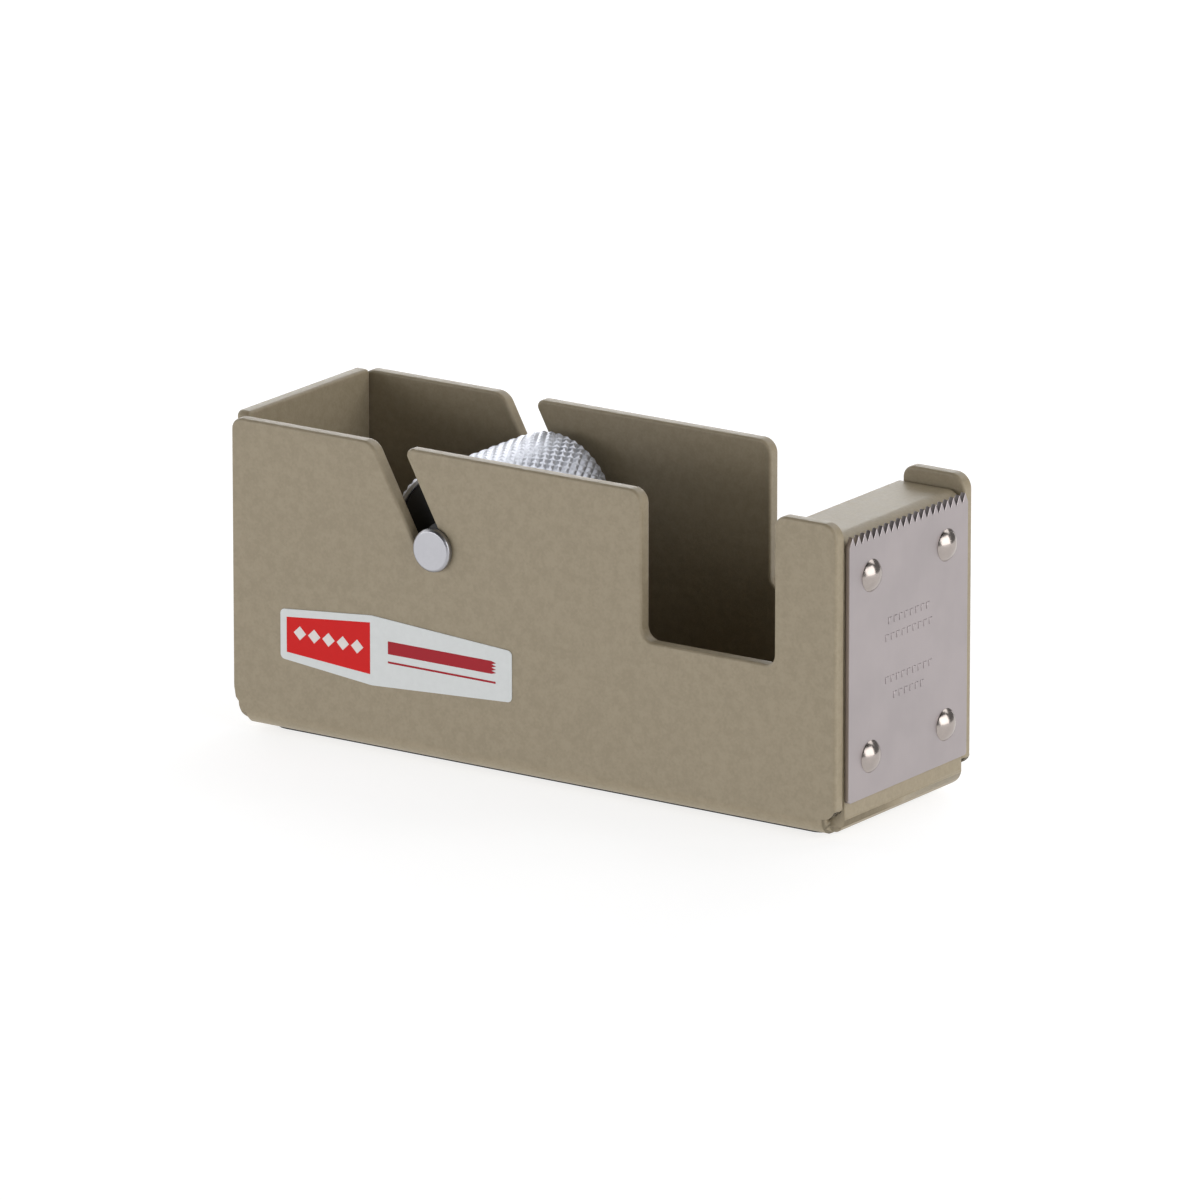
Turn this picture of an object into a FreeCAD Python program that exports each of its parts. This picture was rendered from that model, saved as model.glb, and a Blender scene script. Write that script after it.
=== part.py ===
import FreeCAD, Part
import math
import os

# A small steel desk tape dispenser. One sheet is folded into an open tray, a toothed blade is riveted to its
# front wall, and a knurled hub for the tape core turns on an axle that lifts out of two slanted slots.
#
# Bench frame, millimetres: X = 0 at the rear edges of the side panels and grows towards the blade, Y = 0 on
# the middle plane with the labelled side at -Y, Z = 0 on the desk. The parts are moved at the end, so that
# the origin is the middle of the whole object's footprint.

# Folded steel body
PANEL_LENGTH = 120.0
BODY_WIDTH = 40.1
SHELL_HEIGHT = 52.6
SHEET = 2.45
FOLD_RADIUS = 3.0
SEAM_GAP = 0.25
REAR_OVERHANG = 0.8
REAR_WALL_RISE = 0.4
REAR_WALL_CORNER_RADIUS = 1.0
REAR_FOOT_RADIUS = 3.6
FRONT_FOOT_RADIUS = 2.6
SIDE_FOLD_INSET = 2.7
WALL_FOOT_RADIUS = 1.4
TOP_CORNER_RADIUS = 2.0
CUT_MARGIN = 1.0

# Non-slip pad under the body
PAD_THICKNESS = 1.0
PAD_INSET = 4.5
PAD_CORNER_RADIUS = 3.0

# Axle and the slanted slots that it drops into
AXLE_X = 41.05
AXLE_HEIGHT = 36.32
AXLE_RADIUS = 2.0
SLOT_WIDTH = 5.5
SLOT_LEAN = 28.4
SLOT_SETBACK = 0.65
SLOT_END_CLIMB = 0.9
SEAT_RADIUS = 2.75
SEAT_REST_GAP = 0.02
SLOT_REAR_RADIUS = 3.0
SLOT_HOOK_RADIUS = 1.1
CAP_RADIUS = 3.65
CAP_THICKNESS = 1.15
CAP_BEVEL = 0.35
CAP_SIDE_PLAY = 0.15
SPIGOT_RADIUS = 1.4

# Cut-outs in the side panels that let fingers reach the tape
CUTOUT_REAR = 82.05
CUTOUT_FRONT = 107.95
CUTOUT_FLOOR = 27.3
CUTOUT_REAR_CORNER = 2.5
CUTOUT_REAR_FILLET = 2.3
CUTOUT_FRONT_FILLET = 1.8
LIP_FRONT_RADIUS = 2.7

# Tape platform, folded back from the top of the front wall
PLATFORM_TOP = 50.1
PLATFORM_REAR = 107.4

# Toothed blade and its rivets
BLADE_THICKNESS = 0.9
BLADE_WIDTH = 34.9
BLADE_FOOT = 5.5
BLADE_TEETH = 20
TOOTH_DEPTH = 1.7
BLADE_CORNER_RADIUS = 0.6
RIVET_SPACING_Y = 22.2
RIVET_LOW = 12.1
RIVET_HIGH = 42.5
RIVET_HEAD_RADIUS = 2.75
RIVET_HEAD_HEIGHT = 1.4
RIVET_SHANK_RADIUS = 1.45
RIVET_TAIL_RADIUS = 2.3
RIVET_TAIL_HEIGHT = 0.8
HOLE_CLEARANCE = 0.05

# Hub that grips the tape core
HUB_RADIUS = 12.5
HUB_WIDTH = 28.4
HUB_BORE_RADIUS = 11.3
HUB_BEVEL = 0.4
BUSH_DEPTH = 7.0
BUSH_RECESS = 0.3
BUSH_RUNNING_GAP = 0.08
SPACER_RADIUS = 4.0
SPACER_END_GAP = 0.15

# Label on the side panel
LABEL_THICKNESS = 0.15
LABEL_REAR = 9.9
LABEL_PEAK = 28.4
LABEL_FRONT = 56.5
LABEL_MIDDLE_HEIGHT = 17.1
LABEL_REAR_HEIGHT = 8.5
LABEL_PEAK_HEIGHT = 12.0
LABEL_FRONT_HEIGHT = 8.75
LABEL_CORNER_RADIUS = 0.9

# Worked out from the dimensions above
HALF_WIDTH = BODY_WIDTH / 2
FOLD_INSIDE_RADIUS = FOLD_RADIUS - SHEET
SHELL_FLOOR = PAD_THICKNESS
SHELL_TOP = SHELL_FLOOR + SHELL_HEIGHT
REAR_WALL_TOP = SHELL_TOP + REAR_WALL_RISE
WALL_HALF = HALF_WIDTH - SHEET - SEAM_GAP
AXLE_Z = SHELL_FLOOR + AXLE_HEIGHT
CAP_INNER = HALF_WIDTH + CAP_SIDE_PLAY
CAP_OUTER = CAP_INNER + CAP_THICKNESS
HUB_HALF = HUB_WIDTH / 2
BLADE_FACE = PANEL_LENGTH + BLADE_THICKNESS
FOOTPRINT_MIDDLE_X = (BLADE_FACE + RIVET_HEAD_HEIGHT - REAR_OVERHANG) / 2


def rounded_outline(corners):
    """A closed wire through (point, radius) corners, with a tangent arc wherever the radius isn't zero."""
    runs = []
    for i, (point, radius) in enumerate(corners):
        to_last = (corners[i - 1][0] - point).normalize()
        to_next = (corners[(i + 1) % len(corners)][0] - point).normalize()
        half_angle = to_last.getAngle(to_next) / 2
        setback = radius / math.tan(half_angle)
        middle = (to_last + to_next).normalize()
        nearest = point + middle * (radius / math.sin(half_angle) - radius)
        runs.append((point + to_last * setback, nearest, point + to_next * setback, radius))
    edges = []
    for i, (start, nearest, end, radius) in enumerate(runs):
        if radius > 0:
            edges.append(Part.Arc(start, nearest, end).toShape())
        following = runs[(i + 1) % len(runs)][0]
        if end.distanceToPoint(following) > 1e-6:
            edges.append(Part.LineSegment(end, following).toShape())
    return Part.Wire(Part.__sortEdges__(edges))


def extruded(corners, travel):
    """The solid that the closed outline through these corners sweeps along the travel vector."""
    return Part.Face(rounded_outline(corners)).extrude(travel)


def along_y(corners_xz, y_low, y_high):
    """A prism across the body. Its corners are (x, z, radius)."""
    corners = [(FreeCAD.Vector(x, y_low, z), radius) for x, z, radius in corners_xz]
    return extruded(corners, FreeCAD.Vector(0, y_high - y_low, 0))


def along_x(corners_yz, x_low, x_high):
    """A prism along the body. Its corners are (y, z, radius)."""
    corners = [(FreeCAD.Vector(x_low, y, z), radius) for y, z, radius in corners_yz]
    return extruded(corners, FreeCAD.Vector(x_high - x_low, 0, 0))


def disc(radius, y_low, y_high, x=AXLE_X, z=AXLE_Z):
    """A cylinder across the body, round the axle unless another place is given."""
    return Part.makeCylinder(radius, y_high - y_low, FreeCAD.Vector(x, y_low, z), FreeCAD.Vector(0, 1, 0))


def slot_corners():
    """The four corners of a slanted axle slot, from its rear top corner round to its front top corner.

    The slot runs a little behind the axle, which rests forward of it in a round seat.
    """
    lean = math.radians(SLOT_LEAN)
    half = SLOT_WIDTH / 2
    up_x = -math.sin(lean)
    up_z = math.cos(lean)
    across_x = math.cos(lean)
    across_z = math.sin(lean)
    foot_x = AXLE_X - SLOT_SETBACK * across_x + (SLOT_END_CLIMB - half) * up_x
    foot_z = AXLE_Z - SLOT_SETBACK * across_z + (SLOT_END_CLIMB - half) * up_z
    corners = []
    for side, top_radius in ((-1, SLOT_REAR_RADIUS), (1, SLOT_HOOK_RADIUS)):
        low_x = foot_x + side * half * across_x
        low_z = foot_z + side * half * across_z
        climb = (SHELL_TOP - low_z) / up_z
        low = (low_x, low_z, half)
        top = (low_x + climb * up_x, SHELL_TOP, top_radius)
        corners += [low, top] if side > 0 else [top, low]
    return corners


def side_panel_outline():
    """One side panel seen square on, with the axle slot and the finger cut-out let into its top edge."""
    bend_line = SHELL_FLOOR + FOLD_RADIUS
    cutout_floor = SHELL_FLOOR + CUTOUT_FLOOR
    return [
        (0, bend_line, REAR_FOOT_RADIUS),
        (0, SHELL_TOP, TOP_CORNER_RADIUS),
        *slot_corners(),
        (CUTOUT_REAR, SHELL_TOP, CUTOUT_REAR_CORNER),
        (CUTOUT_REAR, cutout_floor, CUTOUT_REAR_FILLET),
        (CUTOUT_FRONT, cutout_floor, CUTOUT_FRONT_FILLET),
        (CUTOUT_FRONT, SHELL_TOP, TOP_CORNER_RADIUS),
        (PANEL_LENGTH, SHELL_TOP, LIP_FRONT_RADIUS),
        (PANEL_LENGTH, bend_line, FRONT_FOOT_RADIUS),
    ]


def folded_sides():
    """The base and both side panels, folded up along the length of the body."""
    inner = HALF_WIDTH - SHEET
    base_top = SHELL_FLOOR + SHEET
    channel = [
        (-HALF_WIDTH, SHELL_TOP, 0),
        (-HALF_WIDTH, SHELL_FLOOR, FOLD_RADIUS),
        (HALF_WIDTH, SHELL_FLOOR, FOLD_RADIUS),
        (HALF_WIDTH, SHELL_TOP, 0),
        (inner, SHELL_TOP, 0),
        (inner, base_top, FOLD_INSIDE_RADIUS),
        (-inner, base_top, FOLD_INSIDE_RADIUS),
        (-inner, SHELL_TOP, 0),
    ]
    sheet = along_x(channel, 0, PANEL_LENGTH)
    panels = along_y(side_panel_outline(), -HALF_WIDTH, HALF_WIDTH)
    fold_top = SHELL_FLOOR + FOLD_RADIUS + REAR_FOOT_RADIUS
    fold_ends = (SIDE_FOLD_INSET, PANEL_LENGTH - SIDE_FOLD_INSET)
    fold = [
        (fold_ends[0], SHELL_FLOOR, 0),
        (fold_ends[1], SHELL_FLOOR, 0),
        (fold_ends[1], fold_top, 0),
        (fold_ends[0], fold_top, 0),
    ]
    folds = along_y(fold, -HALF_WIDTH, HALF_WIDTH)
    return sheet.common(panels.fuse(folds))


def folded_ends():
    """The back wall, the front wall and the tape platform, folded up between the side panels."""
    rear = -REAR_OVERHANG
    front = PANEL_LENGTH
    base_top = SHELL_FLOOR + SHEET
    platform_top = SHELL_FLOOR + PLATFORM_TOP
    platform_under = platform_top - SHEET
    strip = [
        (rear, REAR_WALL_TOP, 0),
        (rear, SHELL_FLOOR, FOLD_RADIUS),
        (front, SHELL_FLOOR, FOLD_RADIUS),
        (front, platform_top, FOLD_RADIUS),
        (PLATFORM_REAR, platform_top, 0),
        (PLATFORM_REAR, platform_under, 0),
        (front - SHEET, platform_under, FOLD_INSIDE_RADIUS),
        (front - SHEET, base_top, FOLD_INSIDE_RADIUS),
        (rear + SHEET, base_top, FOLD_INSIDE_RADIUS),
        (rear + SHEET, REAR_WALL_TOP, 0),
    ]
    wall = [
        (-WALL_HALF, REAR_WALL_TOP, REAR_WALL_CORNER_RADIUS),
        (-WALL_HALF, SHELL_FLOOR, WALL_FOOT_RADIUS),
        (WALL_HALF, SHELL_FLOOR, WALL_FOOT_RADIUS),
        (WALL_HALF, REAR_WALL_TOP, REAR_WALL_CORNER_RADIUS),
    ]
    sheet = along_y(strip, -WALL_HALF, WALL_HALF)
    return sheet.common(along_x(wall, rear - CUT_MARGIN, front + CUT_MARGIN))


def axle_seats():
    """The round seats at the ends of the slots, as one bar to cut away. The axle rests on their lowest line."""
    seat_z = AXLE_Z + SEAT_RADIUS - AXLE_RADIUS - SEAT_REST_GAP
    reach = HALF_WIDTH + CUT_MARGIN
    return disc(SEAT_RADIUS, -reach, reach, AXLE_X, seat_z)


def rivet_places():
    """The (name, y, z) of each rivet, two low and two high."""
    places = []
    for level, height in (("low", RIVET_LOW), ("high", RIVET_HIGH)):
        for side, y in (("near", -RIVET_SPACING_Y / 2), ("far", RIVET_SPACING_Y / 2)):
            places.append((f"{side}_{level}", y, SHELL_FLOOR + height))
    return places


def rivet_hole(y, z):
    """The hole that one rivet passes through, in the front wall and the blade."""
    start = FreeCAD.Vector(PANEL_LENGTH - SHEET - CUT_MARGIN, y, z)
    depth = SHEET + BLADE_THICKNESS + 2 * CUT_MARGIN
    return Part.makeCylinder(RIVET_SHANK_RADIUS + HOLE_CLEARANCE, depth, start, FreeCAD.Vector(1, 0, 0))


def body_shell():
    """The whole folded sheet, with its axle seats and rivet holes."""
    shell = folded_sides().cut(axle_seats()).fuse(folded_ends()).removeSplitter()
    for _, y, z in rivet_places():
        shell = shell.cut(rivet_hole(y, z))
    return shell


def base_pad():
    """The thin sheet of non-slip rubber glued under the base."""
    x_low = PAD_INSET
    x_high = PANEL_LENGTH - PAD_INSET
    y_half = HALF_WIDTH - PAD_INSET
    corners = [
        (FreeCAD.Vector(x, y, 0), PAD_CORNER_RADIUS)
        for x, y in ((x_low, -y_half), (x_high, -y_half), (x_high, y_half), (x_low, y_half))
    ]
    return extruded(corners, FreeCAD.Vector(0, 0, PAD_THICKNESS))


def side_label():
    """The six-sided label, tallest at its peak, stuck on the -Y panel."""
    middle = SHELL_FLOOR + LABEL_MIDDLE_HEIGHT
    lower = [
        (LABEL_REAR, middle - LABEL_REAR_HEIGHT / 2, LABEL_CORNER_RADIUS),
        (LABEL_PEAK, middle - LABEL_PEAK_HEIGHT / 2, LABEL_CORNER_RADIUS),
        (LABEL_FRONT, middle - LABEL_FRONT_HEIGHT / 2, LABEL_CORNER_RADIUS),
    ]
    upper = [(x, 2 * middle - z, radius) for x, z, radius in reversed(lower)]
    return along_y(lower + upper, -HALF_WIDTH - LABEL_THICKNESS, -HALF_WIDTH)


def blade_plate():
    """The flat plate with a row of V teeth along its top, level with the tape platform."""
    half = BLADE_WIDTH / 2
    tip_z = SHELL_FLOOR + PLATFORM_TOP
    root_z = tip_z - TOOTH_DEPTH
    pitch = BLADE_WIDTH / BLADE_TEETH
    outline = [
        (-half, SHELL_FLOOR + BLADE_FOOT, BLADE_CORNER_RADIUS),
        (-half, root_z, 0),
    ]
    for tooth in range(BLADE_TEETH):
        root_y = -half + tooth * pitch
        outline.append((root_y + pitch / 2, tip_z, 0))
        outline.append((root_y + pitch, root_z, 0))
    outline.append((half, SHELL_FLOOR + BLADE_FOOT, BLADE_CORNER_RADIUS))
    plate = along_x(outline, PANEL_LENGTH, BLADE_FACE)
    for _, y, z in rivet_places():
        plate = plate.cut(rivet_hole(y, z))
    return plate


def blade_rivet(y, z):
    """A solid rivet: a low dome outside, a shank through blade and wall, and a set tail inside."""
    forward = FreeCAD.Vector(1, 0, 0)
    wall_back = PANEL_LENGTH - SHEET
    dome_radius = (RIVET_HEAD_RADIUS ** 2 + RIVET_HEAD_HEIGHT ** 2) / (2 * RIVET_HEAD_HEIGHT)
    dome_centre = FreeCAD.Vector(BLADE_FACE + RIVET_HEAD_HEIGHT - dome_radius, y, z)
    ball = Part.makeSphere(dome_radius, dome_centre)
    keep = Part.makeCylinder(RIVET_HEAD_RADIUS, 2 * dome_radius, FreeCAD.Vector(BLADE_FACE, y, z), forward)
    shank_start = FreeCAD.Vector(wall_back - RIVET_TAIL_HEIGHT, y, z)
    shank_length = BLADE_FACE - shank_start.x + RIVET_HEAD_HEIGHT / 2
    shank = Part.makeCylinder(RIVET_SHANK_RADIUS, shank_length, shank_start, forward)
    tail = Part.makeCylinder(RIVET_TAIL_RADIUS, RIVET_TAIL_HEIGHT, shank_start, forward)
    return ball.common(keep).fuse(shank).fuse(tail).removeSplitter()


def axle_rod():
    """The straight rod across both slots, stepped down at its ends to take the caps."""
    rod = disc(AXLE_RADIUS, -CAP_INNER, CAP_INNER)
    spigot = disc(SPIGOT_RADIUS, -CAP_OUTER + CAP_BEVEL, CAP_OUTER - CAP_BEVEL)
    return rod.fuse(spigot).removeSplitter()


def axle_cap(side):
    """A flat round cap, bevelled at its outer rim and bored to press on the rod's spigot."""
    blank = disc(CAP_RADIUS, CAP_INNER, CAP_OUTER)
    rims = [edge for edge in blank.Edges if abs(edge.BoundBox.YMin - CAP_OUTER) < 1e-6 and edge.Closed]
    rims = [edge for edge in rims if edge.BoundBox.YLength < 1e-6]
    blank = blank.makeChamfer(CAP_BEVEL, rims)
    cap = blank.cut(disc(SPIGOT_RADIUS, CAP_INNER - CUT_MARGIN, CAP_OUTER - CAP_BEVEL))
    return cap if side > 0 else across_middle(cap)


def spacer_ring(side):
    """The small washer that keeps the hub off the side panel."""
    inner_end = HUB_HALF + SPACER_END_GAP
    outer_end = HALF_WIDTH - SHEET - SPACER_END_GAP
    ring = disc(SPACER_RADIUS, inner_end, outer_end)
    ring = ring.cut(disc(AXLE_RADIUS + HOLE_CLEARANCE, inner_end - CUT_MARGIN, outer_end + CUT_MARGIN))
    return ring if side > 0 else across_middle(ring)


def hub_drum():
    """The turned sleeve that carries the tape's core, bored right through and bevelled at its rims."""
    sleeve = disc(HUB_RADIUS, -HUB_HALF, HUB_HALF)
    rims = [edge for edge in sleeve.Edges if edge.Closed and edge.BoundBox.YLength < 1e-6]
    sleeve = sleeve.makeChamfer(HUB_BEVEL, rims)
    return sleeve.cut(disc(HUB_BORE_RADIUS, -HUB_HALF - CUT_MARGIN, HUB_HALF + CUT_MARGIN))


def hub_bush(side):
    """The plastic end plug pressed in the sleeve just below its rim, with a running hole for the rod."""
    inner_end = HUB_HALF - BUSH_RECESS - BUSH_DEPTH
    outer_end = HUB_HALF - BUSH_RECESS
    bush = disc(HUB_BORE_RADIUS - HOLE_CLEARANCE, inner_end, outer_end)
    bush = bush.cut(disc(AXLE_RADIUS + BUSH_RUNNING_GAP, inner_end - CUT_MARGIN, outer_end + CUT_MARGIN))
    return bush if side > 0 else across_middle(bush)


def across_middle(shape):
    """The same shape on the other side of the middle plane."""
    return shape.mirror(FreeCAD.Vector(0, 0, 0), FreeCAD.Vector(0, 1, 0))


def all_parts():
    """Every piece of the dispenser by name, in the bench frame."""
    parts = {
        "body_shell": body_shell(),
        "base_pad": base_pad(),
        "side_label": side_label(),
        "blade_plate": blade_plate(),
        "axle_rod": axle_rod(),
        "hub_drum": hub_drum(),
    }
    for place, y, z in rivet_places():
        parts[f"blade_rivet_{place}"] = blade_rivet(y, z)
    for name, side in (("near", -1), ("far", 1)):
        parts[f"axle_cap_{name}"] = axle_cap(side)
        parts[f"spacer_ring_{name}"] = spacer_ring(side)
        parts[f"hub_bush_{name}"] = hub_bush(side)
    return parts


def main():
    os.makedirs("parts", exist_ok=True)
    for name, shape in all_parts().items():
        shape.translate(FreeCAD.Vector(-FOOTPRINT_MIDDLE_X, 0, 0))
        if not shape.isValid() or len(shape.Solids) != 1:
            raise ValueError(f"{name} isn't one valid solid")
        shape.exportStep(f"parts/{name}.step")
        print(f"{name}: {shape.Volume:.1f} mm3")


main()
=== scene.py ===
import math

import bmesh
import bpy
from mathutils import Matrix, Vector


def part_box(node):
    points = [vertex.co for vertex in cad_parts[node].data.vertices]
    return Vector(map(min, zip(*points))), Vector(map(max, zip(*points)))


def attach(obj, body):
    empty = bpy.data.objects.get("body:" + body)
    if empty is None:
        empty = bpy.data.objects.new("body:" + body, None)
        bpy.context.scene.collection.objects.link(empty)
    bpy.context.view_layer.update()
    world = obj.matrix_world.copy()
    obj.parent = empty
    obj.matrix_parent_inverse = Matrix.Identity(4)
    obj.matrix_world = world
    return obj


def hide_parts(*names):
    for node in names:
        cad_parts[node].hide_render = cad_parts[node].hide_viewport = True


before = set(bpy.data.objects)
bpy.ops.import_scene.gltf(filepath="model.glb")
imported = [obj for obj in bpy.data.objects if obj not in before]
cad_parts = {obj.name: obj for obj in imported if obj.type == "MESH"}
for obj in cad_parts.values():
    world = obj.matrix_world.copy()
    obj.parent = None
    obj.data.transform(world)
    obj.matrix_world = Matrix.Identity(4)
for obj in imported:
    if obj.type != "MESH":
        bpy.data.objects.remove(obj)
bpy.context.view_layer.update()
MM = 0.001


# ---- Folded steel tray ----
# One steel sheet, sheared, pierced and folded up into an open tray. Its sheared edges are tumbled round before
# painting, and it is finished in khaki enamel, baked on with a fine grainy texture.

SHEARED_EDGE_RADIUS = 0.5 * MM
RELIEF_TOP = 6 * MM
WELD_GAP = 0.002 * MM
FLAT_ANGLE = math.radians(1.0)
EDGE_ANGLE = math.radians(38)

PAINT_KHAKI = (0.312, 0.259, 0.176, 1)
PAINT_KHAKI_DEEP = (0.272, 0.225, 0.149, 1)
PAINT_CLOUD_SPAN = (0.38, 0.62)
PAINT_ROUGHNESS = 0.46
PAINT_MOTTLE_SIZE = 1.6 * MM
PAINT_GRAIN_SIZE = 0.45 * MM
PAINT_GRAIN_HEIGHT = 0.03 * MM


class Signal:
    """One output socket in a node tree. Maths on it is written as Python expressions, which add Math nodes."""

    def __init__(self, nodes, socket):
        self.nodes = nodes
        self.socket = socket

    def maths(self, operation, first, second):
        return self.nodes.node("Math", {"operation": operation}, {0: first, 1: second})

    def __add__(self, other):
        return self.maths("ADD", self, other)

    def __radd__(self, other):
        return self.maths("ADD", other, self)

    def __sub__(self, other):
        return self.maths("SUBTRACT", self, other)

    def __rsub__(self, other):
        return self.maths("SUBTRACT", other, self)

    def __mul__(self, other):
        return self.maths("MULTIPLY", self, other)

    def __rmul__(self, other):
        return self.maths("MULTIPLY", other, self)

    def __gt__(self, other):
        return self.maths("GREATER_THAN", self, other)


class NodeTree:
    """A node tree that is built one node at a time."""

    def __init__(self, tree):
        self.tree = tree
        self.tree.nodes.clear()

    def node(self, kind, settings=None, sockets=None, output=0, family="ShaderNode"):
        """Adds any node: its settings first, then a value or a signal for each of its sockets."""
        made = self.tree.nodes.new(family + kind)
        for name, value in (settings or {}).items():
            setattr(made, name, value)
        for name, value in (sockets or {}).items():
            if isinstance(value, Signal):
                self.tree.links.new(value.socket, made.inputs[name])
            else:
                made.inputs[name].default_value = value
        return Signal(self, made.outputs[output]) if made.outputs else made

    def blend(self, share, first, second):
        """A colour between two, by a share from 0 to 1."""
        return self.node("Mix", {"data_type": "RGBA"}, {"Factor": share, 6: first, 7: second}, output=2)

    def spread(self, signal, low, high):
        """The signal's span from low to high, stretched to 0 to 1 and held at its ends."""
        return self.node("MapRange", sockets={"Value": signal, "From Min": low, "From Max": high})


class Finish(NodeTree):
    """A procedural surface finish, built on one material."""

    def __init__(self, name):
        self.material = bpy.data.materials.new(name)
        self.material.use_nodes = True
        super().__init__(self.material.node_tree)

    def place(self):
        """Where a point of the surface is on its piece, in metres."""
        return self.node("TexCoord", output="Object")

    def noise(self, size, detail=2.0, stretch=(1, 1, 1)):
        """Cloudy noise from 0 to 1 with lumps of about that size, drawn out by stretch along X, Y and Z."""
        scaled = self.node("VectorMath", {"operation": "DIVIDE"}, {0: self.place(), 1: stretch})
        return self.node("TexNoise", sockets={"Vector": scaled, "Scale": 1 / size, "Detail": detail})

    def bumps(self, height, tallest, strength=1.0):
        """The normal of a surface whose relief is height times tallest, in metres."""
        return self.node("Bump", sockets={"Height": height, "Distance": tallest, "Strength": strength})

    def surface(self, **sockets):
        """Closes the finish with a Principled shader. Underscores stand for the spaces in its socket names."""
        spaced = {name.replace("_", " "): value for name, value in sockets.items()}
        shader = self.node("BsdfPrincipled", sockets=spaced)
        self.node("OutputMaterial", sockets={"Surface": shader})
        return self.material


def enamel():
    """Baked khaki enamel: faint cloudy mottle, with a fine grain that breaks up its sheen."""
    paint = Finish("khaki_enamel")
    mottle = paint.noise(PAINT_MOTTLE_SIZE, detail=3.0)
    grain = paint.noise(PAINT_GRAIN_SIZE, detail=1.0)
    cloud = paint.spread(mottle * 0.6 + grain * 0.4, *PAINT_CLOUD_SPAN)
    return paint.surface(
        Base_Color=paint.blend(cloud, PAINT_KHAKI_DEEP, PAINT_KHAKI),
        Roughness=PAINT_ROUGHNESS + (mottle - 0.5) * 0.2,
        Specular_IOR_Level=0.45,
        Normal=paint.bumps(mottle * 0.4 + grain, PAINT_GRAIN_HEIGHT, strength=0.6),
    )


def free_edges(lowest):
    """Geometry nodes that mark, for the bevel, the sharp edges above a height."""
    group = bpy.data.node_groups.new("free_edges", "GeometryNodeTree")
    for direction in ("INPUT", "OUTPUT"):
        group.interface.new_socket("Sheet", in_out=direction, socket_type="NodeSocketGeometry")
    nodes = NodeTree(group)
    angle = nodes.node("InputMeshEdgeAngle", family="GeometryNode")
    place = nodes.node("InputPosition", family="GeometryNode")
    height = nodes.node("SeparateXYZ", sockets={0: place}, output="Z")
    marked = nodes.node(
        "StoreNamedAttribute",
        {"domain": "EDGE", "data_type": "FLOAT"},
        {
            "Geometry": nodes.node("GroupInput", family="Node"),
            "Name": "bevel_weight_edge",
            "Value": (angle > EDGE_ANGLE) * (height > lowest),
        },
        family="GeometryNode",
    )
    nodes.node("GroupOutput", sockets={0: marked}, family="Node")
    return group


def soften(node, radius, finish, segments=3, lowest=None):
    """Rounds a CAD node's sharp edges with modifiers, or only those above lowest, and gives it a finish."""
    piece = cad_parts[node]
    weld = piece.modifiers.new("joined_faces", "WELD")
    weld.merge_threshold = WELD_GAP
    flats = piece.modifiers.new("whole_flats", "DECIMATE")
    flats.decimate_type = "DISSOLVE"
    flats.angle_limit = FLAT_ANGLE
    if lowest is not None:
        piece.modifiers.new("free_edges", "NODES").node_group = free_edges(lowest)
    edges = piece.modifiers.new("rounded_edges", "BEVEL")
    edges.width = radius
    edges.segments = segments
    edges.limit_method = "ANGLE" if lowest is None else "WEIGHT"
    edges.angle_limit = EDGE_ANGLE
    edges.miter_outer = "MITER_ARC"
    edges.use_clamp_overlap = lowest is None
    normals = piece.modifiers.new("even_shading", "WEIGHTED_NORMAL")
    normals.keep_sharp = False
    normals.weight = 100
    piece.data.materials.clear()
    piece.data.materials.append(finish)


# The relief cuts of the bends, near the base, leave slivers too small to round, so only the edges above
# them are rounded.
soften("body_shell", SHEARED_EDGE_RADIUS, enamel(), lowest=RELIEF_TOP)


# ---- Non-slip pad ----
# A thin sheet of black rubber glued under the base. It is die-cut, with a fine pebbled face.

PAD_EDGE_RADIUS = 0.2 * MM
PAD_BLACK = (0.022, 0.022, 0.023, 1)
PAD_DUSTY = (0.05, 0.049, 0.046, 1)
PAD_DUST_SIZE = 4 * MM
PAD_ROUGHNESS = 0.72
PAD_PEBBLE_SIZE = 0.6 * MM
PAD_PEBBLE_HEIGHT = 0.05 * MM


def pebbled_rubber():
    rubber = Finish("pebbled_rubber")
    pebbles = rubber.node(
        "TexVoronoi", sockets={"Vector": rubber.place(), "Scale": 1 / PAD_PEBBLE_SIZE}, output="Distance"
    )
    dust = rubber.noise(PAD_DUST_SIZE, detail=4.0)
    return rubber.surface(
        Base_Color=rubber.blend(dust * 0.4, PAD_BLACK, PAD_DUSTY),
        Roughness=PAD_ROUGHNESS + dust * 0.2,
        Normal=rubber.bumps(1 - pebbles, PAD_PEBBLE_HEIGHT),
    )


soften("base_pad", PAD_EDGE_RADIUS, pebbled_rubber())


# ---- Toothed blade ----
# A plate of nickel-plated steel on the front wall. Its teeth are pierced, and the plate is rolled, so the
# plating shows faint lines along it.

BLADE_EDGE_RADIUS = 0.15 * MM
NICKEL = (0.415, 0.372, 0.375, 1)
NICKEL_WORN = (0.385, 0.347, 0.350, 1)
NICKEL_ROUGHNESS = 0.24
NICKEL_CLOUD_SIZE = 9 * MM
NICKEL_CLOUD_SPAN = (0.35, 0.65)
ROLLING_LINE_SIZE = 0.25 * MM
ROLLING_LINE_STRETCH = (1, 1, 60)
ROLLING_LINE_HEIGHT = 0.004 * MM


def rolled_nickel():
    nickel = Finish("rolled_nickel")
    lines = nickel.noise(ROLLING_LINE_SIZE, stretch=ROLLING_LINE_STRETCH)
    clouds = nickel.noise(NICKEL_CLOUD_SIZE, detail=3.0)
    return nickel.surface(
        Base_Color=nickel.blend(nickel.spread(clouds, *NICKEL_CLOUD_SPAN), NICKEL_WORN, NICKEL),
        Metallic=1.0,
        Roughness=NICKEL_ROUGHNESS + lines * 0.1 + clouds * 0.06,
        Normal=nickel.bumps(lines, ROLLING_LINE_HEIGHT, strength=0.5),
    )


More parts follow.
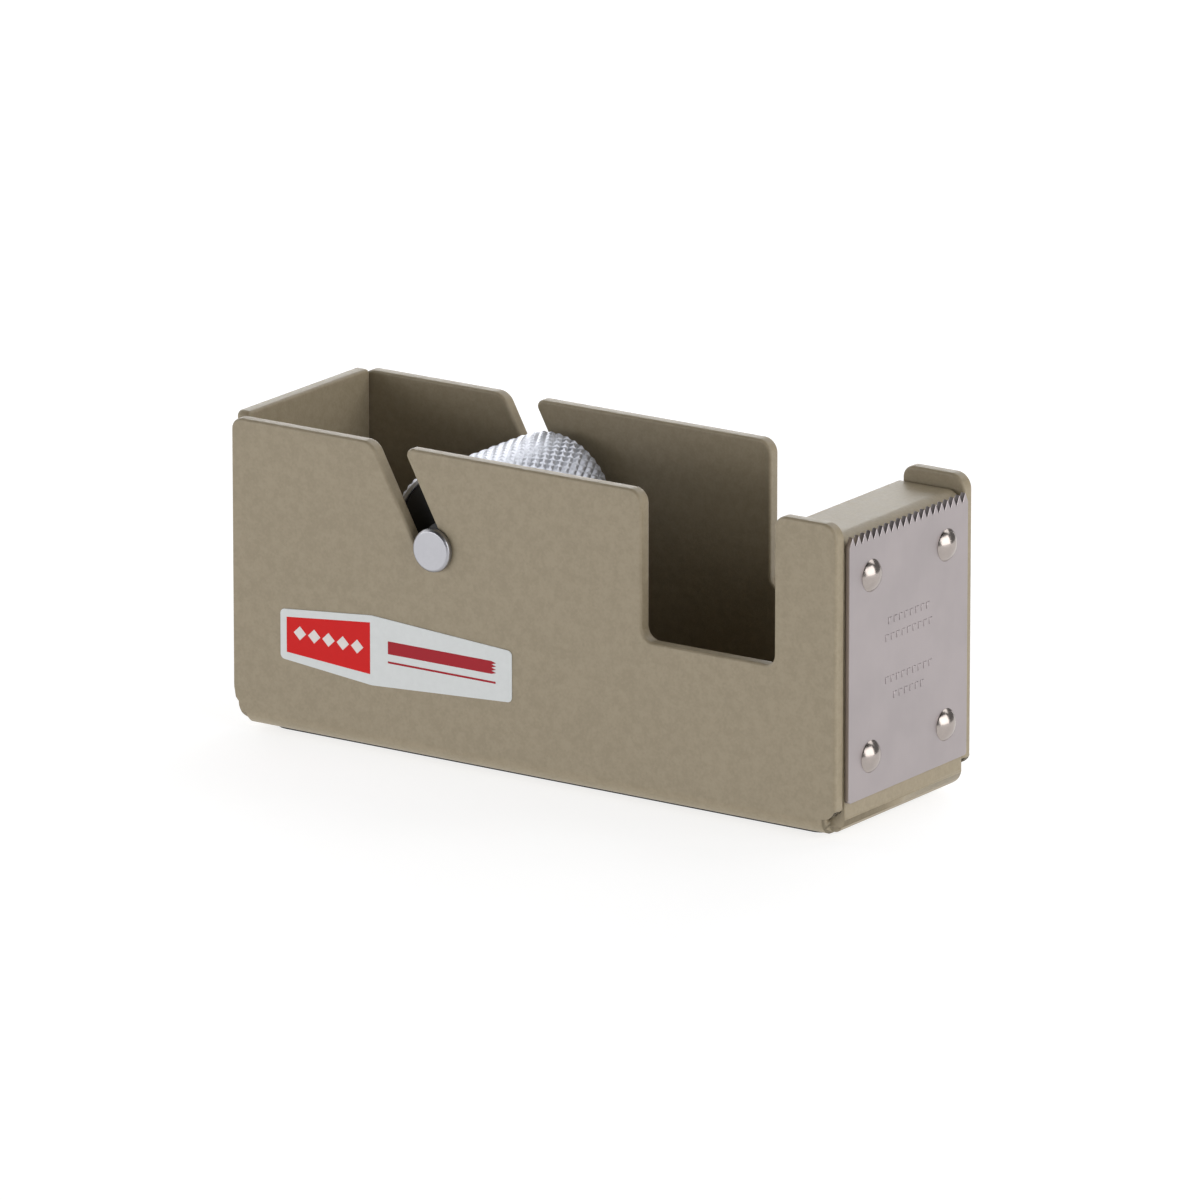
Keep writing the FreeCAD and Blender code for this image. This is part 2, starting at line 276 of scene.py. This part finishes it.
blade_finish = rolled_nickel()
soften("blade_plate", BLADE_EDGE_RADIUS, blade_finish, segments=2)

# The row heights, the size and the pitch are in millimetres, on the blade's face.
PIP_COUNTS = (6, 9, 9, 8)
PIP_ROW_HEIGHTS = (15.4, 18.3, 25.4, 28.2)
PIP_SIZE = (0.85, 1.1)
PIP_PITCH = 1.6
PIP_RISE = 0.06 * MM
PIP_ROUNDING = 0.05 * MM


def relief(name, outlines, place, rise, rounding=0.0):
    """Flat raised shapes as one mesh. Outlines are in millimetres, on a plane that the matrix sets in place."""
    drawing = bpy.data.curves.new(name, "CURVE")
    drawing.dimensions = "2D"
    drawing.fill_mode = "BOTH"
    drawing.extrude = (rise - rounding) / 2
    drawing.bevel_depth = rounding
    drawing.bevel_resolution = 1
    drawing.offset = -rounding
    for outline in outlines:
        line = drawing.splines.new("POLY")
        line.points.add(len(outline) - 1)
        for corner, (x, y) in zip(line.points, outline):
            corner.co = (x * MM, y * MM, 0, 1)
        line.use_cyclic_u = True
    pattern = bpy.data.objects.new(name, drawing)
    mesh = bpy.data.meshes.new_from_object(pattern)
    bpy.data.objects.remove(pattern)
    mesh.transform(place)
    mesh.name = name
    piece = bpy.data.objects.new(name, mesh)
    bpy.context.scene.collection.objects.link(piece)
    return piece


def bar(x, y, width, height):
    """The outline of an upright rectangle round its middle."""
    return [
        (x - width / 2, y - height / 2),
        (x + width / 2, y - height / 2),
        (x + width / 2, y + height / 2),
        (x - width / 2, y + height / 2),
    ]


def pressed_pips():
    """Rows of low pips between the rivets."""
    low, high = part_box("blade_plate")
    foot = Vector((high.x, (low.y + high.y) / 2, low.z))
    facing_front = Matrix.Translation(foot) @ Matrix(((0, 0, 1, 0), (1, 0, 0, 0), (0, 1, 0, 0), (0, 0, 0, 1)))
    outlines = []
    for count, height in zip(PIP_COUNTS, PIP_ROW_HEIGHTS):
        for i in range(count):
            outlines.append(bar((i - (count - 1) / 2) * PIP_PITCH, height, *PIP_SIZE))
    pips = relief("blade_pips", outlines, facing_front, 2 * PIP_RISE, rounding=PIP_ROUNDING)
    pips.data.materials.append(blade_finish)
    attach(pips, "body")


pressed_pips()


# ---- Blade rivets ----
# Four domed steel rivets, nickel-plated, set through the blade and the front wall.

RIVET_NICKEL = (0.44, 0.39, 0.36, 1)
RIVET_HAZE = (0.36, 0.32, 0.30, 1)
RIVET_ROUGHNESS = 0.17
RIVET_HAZE_SIZE = 1.2 * MM
RIVET_HAZE_HEIGHT = 0.01 * MM
RIVET_EDGE_RADIUS = 0.12 * MM


def bright_nickel():
    nickel = Finish("bright_nickel")
    haze = nickel.noise(RIVET_HAZE_SIZE, detail=3.0)
    return nickel.surface(
        Base_Color=nickel.blend(haze, RIVET_NICKEL, RIVET_HAZE),
        Metallic=1.0,
        Roughness=RIVET_ROUGHNESS + haze * 0.10,
        Normal=nickel.bumps(haze, RIVET_HAZE_HEIGHT, strength=0.4),
    )


rivet_finish = bright_nickel()
for level in ("low", "high"):
    for side in ("near", "far"):
        soften(f"blade_rivet_{side}_{level}", RIVET_EDGE_RADIUS, rivet_finish)


# ---- Axle ----
# A ground steel rod with a flat turned cap pressed on each end.

AXLE_SATIN = (0.44, 0.44, 0.465, 1)
AXLE_HAZE = (0.40, 0.40, 0.425, 1)
AXLE_ROUGHNESS = 0.30
AXLE_HAZE_SIZE = 0.8 * MM
TURNING_PITCH = 0.12 * MM
TURNING_HEIGHT = 0.004 * MM
ROD_EDGE_RADIUS = 0.1 * MM
CAP_EDGE_RADIUS = 0.12 * MM


def turned_steel():
    steel = Finish("turned_steel")
    low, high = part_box("axle_rod")
    centre = (low + high) / 2
    out = steel.node("VectorMath", {"operation": "SUBTRACT"}, {0: steel.place(), 1: centre})
    flat = steel.node("VectorMath", {"operation": "MULTIPLY"}, {0: out, 1: (1, 0, 1)})
    reach = steel.node("VectorMath", {"operation": "LENGTH"}, {0: flat}, output="Value")
    rings = steel.node("Math", {"operation": "SINE"}, {0: reach * (2 * math.pi / TURNING_PITCH)})
    haze = steel.noise(AXLE_HAZE_SIZE, detail=3.0)
    return steel.surface(
        Base_Color=steel.blend(haze, AXLE_SATIN, AXLE_HAZE),
        Metallic=1.0,
        Roughness=AXLE_ROUGHNESS + haze * 0.12,
        Normal=steel.bumps(rings * 0.5 + haze, TURNING_HEIGHT, strength=0.5),
    )


axle_finish = turned_steel()
soften("axle_rod", ROD_EDGE_RADIUS, axle_finish)
for side in ("near", "far"):
    soften(f"axle_cap_{side}", CAP_EDGE_RADIUS, axle_finish)


# ---- Bushes and spacers ----
# Black nylon: a bush pressed in each end of the hub, and a washer outside it on the rod.

NYLON_BLACK = (0.018, 0.018, 0.019, 1)
NYLON_HAZE = (0.03, 0.03, 0.031, 1)
NYLON_ROUGHNESS = 0.42
NYLON_HAZE_SIZE = 0.5 * MM
NYLON_HAZE_HEIGHT = 0.01 * MM
NYLON_EDGE_RADIUS = 0.15 * MM


def moulded_nylon():
    nylon = Finish("moulded_nylon")
    haze = nylon.noise(NYLON_HAZE_SIZE)
    return nylon.surface(
        Base_Color=nylon.blend(haze, NYLON_BLACK, NYLON_HAZE),
        Roughness=NYLON_ROUGHNESS + haze * 0.15,
        Normal=nylon.bumps(haze, NYLON_HAZE_HEIGHT, strength=0.5),
    )


nylon_finish = moulded_nylon()
for side in ("near", "far"):
    soften(f"hub_bush_{side}", NYLON_EDGE_RADIUS, nylon_finish)
    soften(f"spacer_ring_{side}", NYLON_EDGE_RADIUS, nylon_finish)


# ---- Knurled hub ----
# A sleeve turned from aluminium bar and bored right through. Its face is rolled with a diamond knurl that grips
# the tape's core. One family of grooves is pressed deeper than the other.

KNURL_GROOVES = 50
KNURL_ROWS = 20
KNURL_DEPTH = 0.24 * MM
KNURL_NOTCH_DEPTH = 0.06 * MM
# A crest's half width, and how far it is drawn out along the deeper grooves, in half grooves.
KNURL_FLAT = 0.2
KNURL_STRETCH = 0.14
RIM_BEVEL = 0.4 * MM
RIM_ROUND = 0.12 * MM
SLEEVE_BORE = 11.3 * MM
CREASE_ANGLE = math.radians(20)
ALUMINIUM = (0.66, 0.68, 0.74, 1)
ALUMINIUM_HAZE = (0.54, 0.56, 0.62, 1)
ALUMINIUM_ROUGHNESS = 0.40
ALUMINIUM_HAZE_SIZE = 0.7 * MM
ALUMINIUM_HAZE_HEIGHT = 0.008 * MM


def knurled_sleeve(name):
    """The hub's sleeve as one mesh: diamonds in staggered rows, bevelled ends and a through bore."""
    low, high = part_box("hub_drum")
    centre = (low + high) / 2
    crest = (high.x - low.x) / 2
    end = (high.y - low.y) / 2
    grip_half = end - RIM_BEVEL
    row_step = 2 * grip_half / KNURL_ROWS
    columns = 2 * KNURL_GROOVES
    mesh = bmesh.new()

    def point(column, y, radius):
        """A vertex at this many half grooves round the sleeve."""
        angle = math.pi * column / KNURL_GROOVES
        return mesh.verts.new(centre + Vector((radius * math.cos(angle), y, radius * math.sin(angle))))

    valleys = {}
    notches = {}
    crests = {}
    for row in range(KNURL_ROWS + 1):
        y = -grip_half + row * row_step
        for column in range(columns):
            if (row + column) % 2 == 0:
                valleys[column, row] = point(column, y, crest - KNURL_DEPTH)
                if row < KNURL_ROWS:
                    notches[column, row] = point(column - 0.5, y + row_step / 2, crest - KNURL_NOTCH_DEPTH)
                continue
            stretch = KNURL_STRETCH if 0 < row < KNURL_ROWS else 0
            reach = KNURL_FLAT + stretch
            tops = {
                "left": point(column - reach, y - stretch * row_step, crest),
                "right": point(column + reach, y + stretch * row_step, crest),
            }
            if row > 0:
                tops["down"] = point(column - stretch, y - reach * row_step, crest)
            if row < KNURL_ROWS:
                tops["up"] = point(column + stretch, y + reach * row_step, crest)
            crests[column, row] = tops
    for (column, row), tops in crests.items():
        left_column = (column - 1) % columns
        right_column = (column + 1) % columns
        left = valleys[left_column, row]
        right = valleys[right_column, row]
        corners = [tops["left"], tops["right"]]
        if row < KNURL_ROWS:
            up = valleys[column, row + 1]
            mesh.faces.new((right, tops["right"], tops["up"], up, notches[right_column, row]))
            mesh.faces.new((up, tops["up"], tops["left"], left))
            corners.insert(1, tops["up"])
        if row > 0:
            down = valleys[column, row - 1]
            mesh.faces.new((left, tops["left"], tops["down"], down, notches[column, row - 1]))
            mesh.faces.new((down, tops["down"], tops["right"], right))
            corners.append(tops["down"])
        mesh.faces.new(corners[::-1])

    end_profile = [
        (end - RIM_ROUND, crest - RIM_BEVEL),
        (end, crest - RIM_BEVEL - RIM_ROUND),
        (end, SLEEVE_BORE + RIM_ROUND),
        (end - RIM_ROUND, SLEEVE_BORE),
    ]
    last_rings = []
    for sign, row in ((-1, 0), (1, KNURL_ROWS)):
        ring = []
        places = []
        for column in range(columns):
            if (row + column) % 2 == 0:
                ring.append(valleys[column, row])
                places.append(column)
            else:
                ring += [crests[column, row]["left"], crests[column, row]["right"]]
                places += [column - KNURL_FLAT, column + KNURL_FLAT]
        for y, radius in end_profile:
            following = [point(place, sign * y, radius) for place in places]
            for i in range(len(ring)):
                j = (i + 1) % len(ring)
                quad = (ring[i], ring[j], following[j], following[i])
                mesh.faces.new(quad if sign < 0 else quad[::-1])
            ring = following
        last_rings.append(ring)
    first, last = last_rings
    for i in range(len(first)):
        j = (i + 1) % len(first)
        mesh.faces.new((first[i], first[j], last[j], last[i]))
    bmesh.ops.recalc_face_normals(mesh, faces=mesh.faces)
    data = bpy.data.meshes.new(name)
    mesh.to_mesh(data)
    mesh.free()
    for face in data.polygons:
        face.use_smooth = True
    data.set_sharp_from_angle(angle=CREASE_ANGLE)
    piece = bpy.data.objects.new(name, data)
    bpy.context.scene.collection.objects.link(piece)
    return piece


def bright_aluminium():
    metal = Finish("bright_aluminium")
    haze = metal.noise(ALUMINIUM_HAZE_SIZE, detail=3.0)
    return metal.surface(
        Base_Color=metal.blend(haze, ALUMINIUM, ALUMINIUM_HAZE),
        Metallic=1.0,
        Roughness=ALUMINIUM_ROUGHNESS + haze * 0.12,
        Normal=metal.bumps(haze, ALUMINIUM_HAZE_HEIGHT, strength=0.4),
    )


hub = knurled_sleeve("knurled_hub_drum")
hub.data.materials.append(bright_aluminium())
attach(hub, "hub")
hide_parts("hub_drum")


# ---- Side label ----
# A six-sided vinyl label on the -Y panel, pale with a red block. It is printed with a plain row of white
# lozenges and a torn strip of tape. The ink stands a hair above the film.

LABEL_PALE = (0.68, 0.70, 0.70, 1)
INK_RED = (0.62, 0.004, 0.004, 1)
INK_CRIMSON = (0.36, 0.010, 0.020, 1)
INK_WHITE = (0.75, 0.70, 0.68, 1)
FILM_TINT = 0.92
FILM_ROUGHNESS = 0.34
FILM_HAZE_SIZE = 0.9 * MM
FILM_HAZE_HEIGHT = 0.006 * MM
FILM_EDGE_RADIUS = 0.05 * MM
INK_RISE = 0.02 * MM
# The print's places and sizes are in millimetres, from the label's lower rear corner.
RED_BLOCK = ((1.3, 2.99), (18.2, 1.87), (18.2, 10.74), (1.3, 9.02))
LOZENGE_COUNT = 5
LOZENGE_FIRST = (4.0, 6.6)
LOZENGE_STEP = (2.9, -0.1)
LOZENGE_SIZE = (2.5, 2.4)
STRIP_REAR = 21.8
STRIP_FRONT = 42.6
STRIP_LOW = 5.9
STRIP_HIGH = 8.1
STRIP_TEETH = 4
STRIP_TOOTH = 0.9
UNDERLINE_MIDDLE = (32.6, 4.5)
UNDERLINE_SIZE = (21.6, 0.35)


def vinyl(name, colour):
    film = Finish(name)
    haze = film.noise(FILM_HAZE_SIZE, detail=3.0)
    deep = tuple(FILM_TINT * c for c in colour[:3]) + (1,)
    return film.surface(
        Base_Color=film.blend(haze, colour, deep),
        Roughness=FILM_ROUGHNESS + haze * 0.1,
        Specular_IOR_Level=0.2,
        Normal=film.bumps(haze, FILM_HAZE_HEIGHT, strength=0.4),
    )


def lozenge(index):
    x = LOZENGE_FIRST[0] + index * LOZENGE_STEP[0]
    y = LOZENGE_FIRST[1] + index * LOZENGE_STEP[1]
    half_width, half_height = LOZENGE_SIZE[0] / 2, LOZENGE_SIZE[1] / 2
    return [(x - half_width, y), (x, y - half_height), (x + half_width, y), (x, y + half_height)]


def torn_strip():
    """A strip with a saw edge where it was torn off."""
    tooth = (STRIP_HIGH - STRIP_LOW) / STRIP_TEETH
    outline = [(STRIP_REAR, STRIP_HIGH), (STRIP_REAR, STRIP_LOW), (STRIP_FRONT, STRIP_LOW)]
    for i in range(STRIP_TEETH):
        outline.append((STRIP_FRONT + STRIP_TOOTH, STRIP_LOW + (i + 0.5) * tooth))
        outline.append((STRIP_FRONT, STRIP_LOW + (i + 1) * tooth))
    return outline


def print_label():
    low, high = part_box("side_label")
    facing_side = Matrix.Translation(low) @ Matrix(((1, 0, 0, 0), (0, 0, -1, 0), (0, 1, 0, 0), (0, 0, 0, 1)))
    lozenges = [lozenge(i) for i in range(LOZENGE_COUNT)]
    inks = (
        ("label_red_block", [RED_BLOCK], INK_RED, 1),
        ("label_lozenges", lozenges, INK_WHITE, 2),
        ("label_torn_strip", [torn_strip()], INK_CRIMSON, 1),
        ("label_underline", [bar(*UNDERLINE_MIDDLE, *UNDERLINE_SIZE)], INK_CRIMSON, 1),
    )
    for name, outlines, colour, layer in inks:
        ink = relief(name, outlines, facing_side, 2 * layer * INK_RISE)
        ink.data.materials.append(vinyl(name + "_ink", colour))
        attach(ink, "body")


soften("side_label", FILM_EDGE_RADIUS, vinyl("pale_vinyl", LABEL_PALE), segments=2)
print_label()


# ---- Studio ----
# A pale floor that glows up to white, and five large softboxes in a dark room. The camera looks from
# far off through a long lens.

FLOOR_REACH = 3.0
FLOOR_GREY = (0.36, 0.36, 0.36, 1)
FLOOR_GLOW_COLOUR = (1, 1, 1, 1)
FLOOR_GLOW = 0.765
HORIZON_GLOW = (0.2, 0.2, 0.2, 1)
CEILING_DARK = (0.015, 0.015, 0.015, 1)
CEILING_SPAN = (0.42, 0.62)
SOFTBOX_DISTANCE = 1.5


def glowing_floor():
    floor_mesh = bpy.data.meshes.new("floor")
    r = FLOOR_REACH
    floor_mesh.from_pydata([(-r, -r, 0), (r, -r, 0), (r, r, 0), (-r, r, 0)], [], [(0, 1, 2, 3)])
    floor = bpy.data.objects.new("floor", floor_mesh)
    bpy.context.scene.collection.objects.link(floor)
    pale = Finish("pale_floor")
    floor_mesh.materials.append(
        pale.surface(
            Base_Color=FLOOR_GREY,
            Roughness=0.9,
            Emission_Color=FLOOR_GLOW_COLOUR,
            Emission_Strength=FLOOR_GLOW,
        )
    )


def dark_room():
    """A faint glow round the horizon under a dark ceiling, by the height that a direction points to."""
    world = bpy.data.worlds.new("studio")
    world.use_nodes = True
    nodes = NodeTree(world.node_tree)
    height = nodes.node("SeparateXYZ", sockets={0: nodes.node("TexCoord", output="Generated")}, output="Z")
    glow = nodes.blend(nodes.spread(height, *CEILING_SPAN), HORIZON_GLOW, CEILING_DARK)
    nodes.node("OutputWorld", sockets={"Surface": nodes.node("Background", sockets={"Color": glow})})
    bpy.context.scene.world = world


def softbox(name, azimuth, elevation, width, height, power):
    """An area light that faces the object. Azimuth 0 is at -Y and 90 at +X, in degrees."""
    a, e = math.radians(azimuth), math.radians(elevation)
    away = Vector((math.sin(a) * math.cos(e), -math.cos(a) * math.cos(e), math.sin(e)))
    light = bpy.data.lights.new(name, "AREA")
    light.shape = "RECTANGLE"
    light.size = width
    light.size_y = height
    light.energy = power
    lamp = bpy.data.objects.new(name, light)
    lamp.location = away * SOFTBOX_DISTANCE
    lamp.rotation_mode = "QUATERNION"
    lamp.rotation_quaternion = (-away).to_track_quat("-Z", "Y")
    lamp.visible_camera = False
    bpy.context.scene.collection.objects.link(lamp)


glowing_floor()
dark_room()
softbox("back_softbox", azimuth=210, elevation=14, width=1.57, height=0.70, power=12.6)
softbox("front_softbox", azimuth=90, elevation=22, width=1.57, height=1.10, power=15.5)
softbox("low_strip", azimuth=-30, elevation=7.5, width=1.57, height=0.36, power=7.4)
softbox("rear_softbox", azimuth=270, elevation=30, width=1.57, height=0.80, power=7.5)
softbox("high_softbox", azimuth=165, elevation=50, width=1.20, height=0.80, power=6.0)

VIEW_AZIMUTH = math.radians(34.44)
VIEW_ELEVATION = math.radians(15.78)
VIEW_DISTANCE = 2.303
VIEW_TARGET = Vector((-0.00053, -0.00005, 0.02712))
LENS_LENGTH = 420
SENSOR_WIDTH = 36
FARTHEST_SEEN = 20


def aimed_camera():
    camera_data = bpy.data.cameras.new("camera")
    camera_data.lens = LENS_LENGTH
    camera_data.sensor_width = SENSOR_WIDTH
    camera_data.clip_end = FARTHEST_SEEN
    camera = bpy.data.objects.new("camera", camera_data)
    back = Vector((
        math.sin(VIEW_AZIMUTH) * math.cos(VIEW_ELEVATION),
        -math.cos(VIEW_AZIMUTH) * math.cos(VIEW_ELEVATION),
        math.sin(VIEW_ELEVATION),
    ))
    camera.location = VIEW_TARGET + back * VIEW_DISTANCE
    camera.rotation_mode = "QUATERNION"
    camera.rotation_quaternion = (-back).to_track_quat("-Z", "Y")
    bpy.context.scene.collection.objects.link(camera)
    return camera


bpy.context.scene.camera = aimed_camera()
bpy.context.scene.view_settings.view_transform = "Standard"
